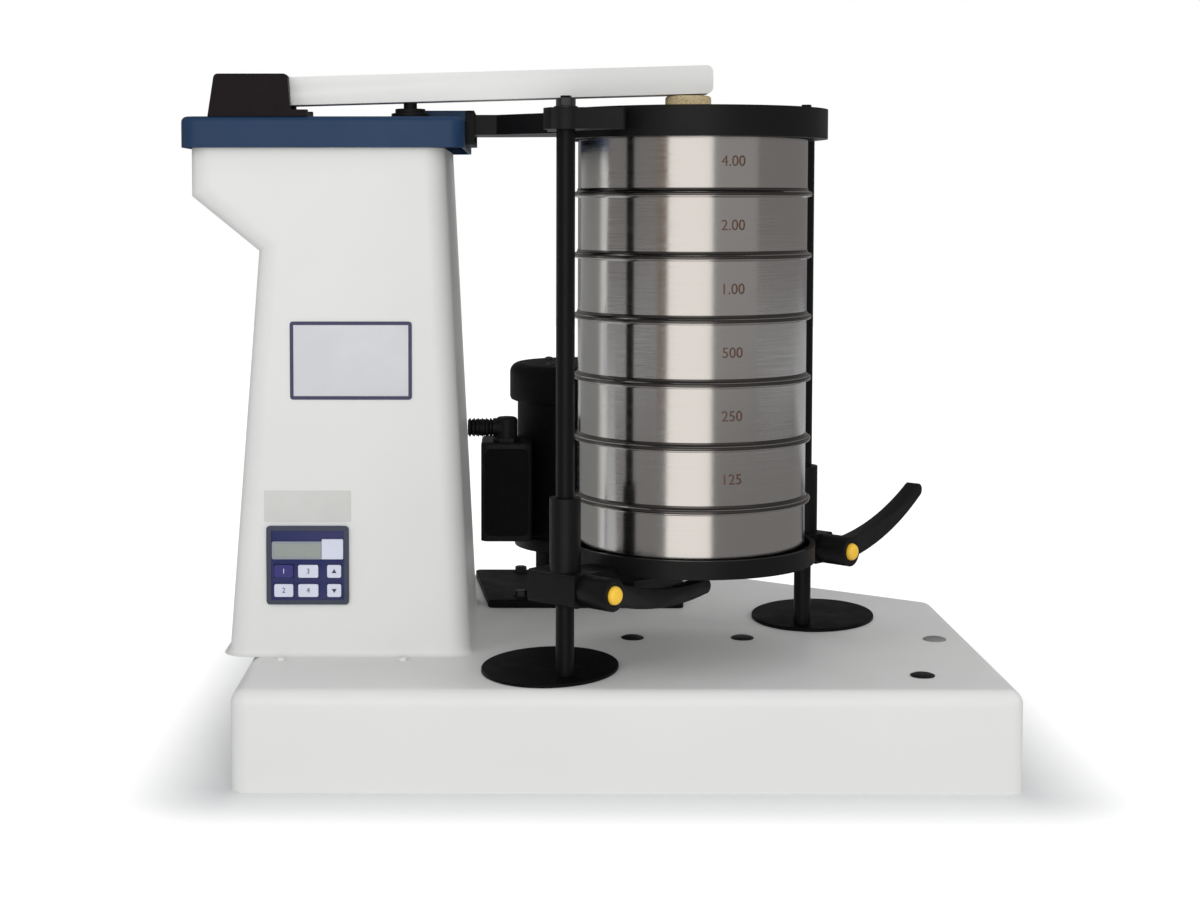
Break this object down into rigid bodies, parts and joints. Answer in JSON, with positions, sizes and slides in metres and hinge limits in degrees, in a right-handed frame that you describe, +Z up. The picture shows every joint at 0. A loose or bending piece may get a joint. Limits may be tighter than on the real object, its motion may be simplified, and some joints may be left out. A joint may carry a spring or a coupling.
{
  "type": "sieve shaker",
  "caption": "Bench-top tapping sieve shaker: a motor-driven carriage circles a nest of round test sieves while a pivoted hammer bar taps the cork above them",
  "frame": {"origin": "centre of the base's rectangular footprint on the plane of its underside", "axes": "+X to the right as seen from the keypad side, +Y to the back where the motor stands, +Z up"},
  "size_m": [0.7245, 0.5345, 0.616],
  "materials": {
    "white_coat": "satin powder coat",
    "blue_coat": "satin powder coat",
    "black_coat": "satin black paint",
    "motor_black": "black painted casting",
    "sieve_steel": "polished stainless",
    "wire_cloth": "woven wire",
    "shaft_steel": "ground steel",
    "nut_steel": "zinc plated",
    "bearing_iron": "machined",
    "belt_rubber": "matt",
    "wiper_rubber": "matt",
    "cork": "natural cork",
    "black_plastic": "moulded",
    "grey_plastic": "moulded",
    "button_yellow": "moulded",
    "label_white": "blank label",
    "patch_white": "blank label",
    "navy_film": "printed film",
    "display_grey": "clear window",
    "key_white": "film",
    "key_navy": "film"
  },
  "bodies": {
    "frame": {"base_housing": "white_coat", "base_bottom": "white_coat", "hole_plugs": "black_plastic", "grey_plug": "grey_plastic", "tower_housing": "white_coat", "foot_screws": "white_coat", "top_cover": "blue_coat", "arm_wiper": "wiper_rubber", "rod_guide": "black_coat", "pivot_housing": "black_coat", "nameplate": "label_white", "blank_patch": "patch_white", "keypad_panel": "navy_film", "display_window": "display_grey", "shaft_bearings": "bearing_iron", "drive_belt": "belt_rubber", "motor_plate": "black_coat", "motor_pedestal": "black_coat", "motor_body": "motor_black", "motor_cap": "motor_black", "junction_box": "black_plastic", "conduit_elbow": "black_plastic", "conduit": "black_plastic"},
    "main_shaft": {"main_shaft": "shaft_steel", "main_gear": "shaft_steel", "main_pulley": "bearing_iron"},
    "motor_shaft": {"motor_shaft": "shaft_steel"},
    "cam_shaft": {"cam_shaft": "shaft_steel"},
    "carriage": {"upper_plate": "black_coat", "post_left": "black_coat", "post_right": "black_coat", "post_nuts": "nut_steel", "lower_carrier": "black_coat", "dust_disc_left": "black_plastic", "dust_disc_right": "black_plastic"},
    "support": {"support_plate": "black_coat", "sieve_pan": "sieve_steel", "sieve_1": "sieve_steel", "sieve_2": "sieve_steel", "sieve_3": "sieve_steel", "sieve_4": "sieve_steel", "sieve_5": "sieve_steel", "sieve_6": "sieve_steel", "sieve_cloths": "wire_cloth", "sieve_lid": "sieve_steel", "cork": "cork"},
    "lever_left": {"clamp_lever_left": "black_coat"},
    "lever_right": {"clamp_lever_right": "black_coat"},
    "button_left": {"release_button_left": "button_yellow"},
    "button_right": {"release_button_right": "button_yellow"},
    "lift_rod": {"lift_rod": "black_coat"},
    "hammer_pivot": {"hammer_pin": "shaft_steel"},
    "hammer": {"hammer_bar": "white_coat"},
    "key_1": {"key_1": "key_navy"},
    "key_2": {"key_2": "key_white"},
    "key_3": {"key_3": "key_white"},
    "key_4": {"key_4": "key_white"},
    "key_5": {"key_5": "key_white"},
    "key_6": {"key_6": "key_white"}
  },
  "joints": [
    {"name": "main_spin", "type": "hinge", "parent": "frame", "child": "main_shaft", "pos_m": [-0.24, -0.04, 0.3], "axis": [0, 0, 1], "continuous": true},
    {"name": "motor_spin", "type": "hinge", "parent": "frame", "child": "motor_shaft", "pos_m": [-0.022, 0.165, 0.1], "axis": [0, 0, 1], "continuous": true},
    {"name": "cam_spin", "type": "hinge", "parent": "frame", "child": "cam_shaft", "pos_m": [-0.21193, -0.08961, 0.4], "axis": [0, 0, 1], "continuous": true},
    {"name": "carriage_orbit", "type": "hinge", "parent": "main_shaft", "child": "carriage", "pos_m": [-0.24, -0.054, 0.3], "axis": [0, 0, 1], "continuous": true},
    {"name": "support_slide", "type": "slide", "parent": "carriage", "child": "support", "axis": [0, 0, 1], "range_m": [-0.045, 0]},
    {"name": "clamp_left_turn", "type": "hinge", "parent": "support", "child": "lever_left", "pos_m": [-0.02175, -0.24728, 0.166], "axis": [0.7314, -0.682, 0], "range_deg": [-5, 4.5]},
    {"name": "clamp_right_turn", "type": "hinge", "parent": "support", "child": "lever_right", "pos_m": [0.21125, -0.03728, 0.166], "axis": [0.7314, -0.682, 0], "range_deg": [-30, 85]},
    {"name": "button_left_press", "type": "slide", "parent": "lever_left", "child": "button_left", "axis": [-0.7314, 0.682, 0], "range_m": [0, 0.003], "stiffness_N_per_m": 500},
    {"name": "button_right_press", "type": "slide", "parent": "lever_right", "child": "button_right", "axis": [-0.7314, 0.682, 0], "range_m": [0, 0.003], "stiffness_N_per_m": 500},
    {"name": "hammer_tap", "type": "hinge", "parent": "frame", "child": "hammer_pivot", "pos_m": [-0.335, -0.115, 0.592], "axis": [0, -1, 0], "range_deg": [0, 4.9]},
    {"name": "hammer_swing", "type": "hinge", "parent": "hammer_pivot", "child": "hammer", "pos_m": [-0.335, -0.115, 0.592], "axis": [0, -1, 0], "range_deg": [0, 75]},
    {"name": "lift_rod_slide", "type": "slide", "parent": "frame", "child": "lift_rod", "axis": [0, 0, 1], "range_m": [0, 0.0122]},
    {"name": "key_1_press", "type": "slide", "parent": "frame", "child": "key_1", "axis": [0, 1, 0], "range_m": [0, 0.0005], "stiffness_N_per_m": 1500},
    {"name": "key_2_press", "type": "slide", "parent": "frame", "child": "key_2", "axis": [0, 1, 0], "range_m": [0, 0.0005], "stiffness_N_per_m": 1500},
    {"name": "key_3_press", "type": "slide", "parent": "frame", "child": "key_3", "axis": [0, 1, 0], "range_m": [0, 0.0005], "stiffness_N_per_m": 1500},
    {"name": "key_4_press", "type": "slide", "parent": "frame", "child": "key_4", "axis": [0, 1, 0], "range_m": [0, 0.0005], "stiffness_N_per_m": 1500},
    {"name": "key_5_press", "type": "slide", "parent": "frame", "child": "key_5", "axis": [0, 1, 0], "range_m": [0, 0.0005], "stiffness_N_per_m": 1500},
    {"name": "key_6_press", "type": "slide", "parent": "frame", "child": "key_6", "axis": [0, 1, 0], "range_m": [0, 0.0005], "stiffness_N_per_m": 1500}
  ],
  "couplings": [
    {"joint": "motor_spin", "follows": "main_spin", "ratio": 6.2},
    {"joint": "cam_spin", "follows": "main_spin", "ratio": -0.54054},
    {"joint": "carriage_orbit", "follows": "main_spin", "ratio": -1},
    {"joint": "lift_rod_slide", "follows": "hammer_tap", "m_per_rad": 0.1405}
  ]
}
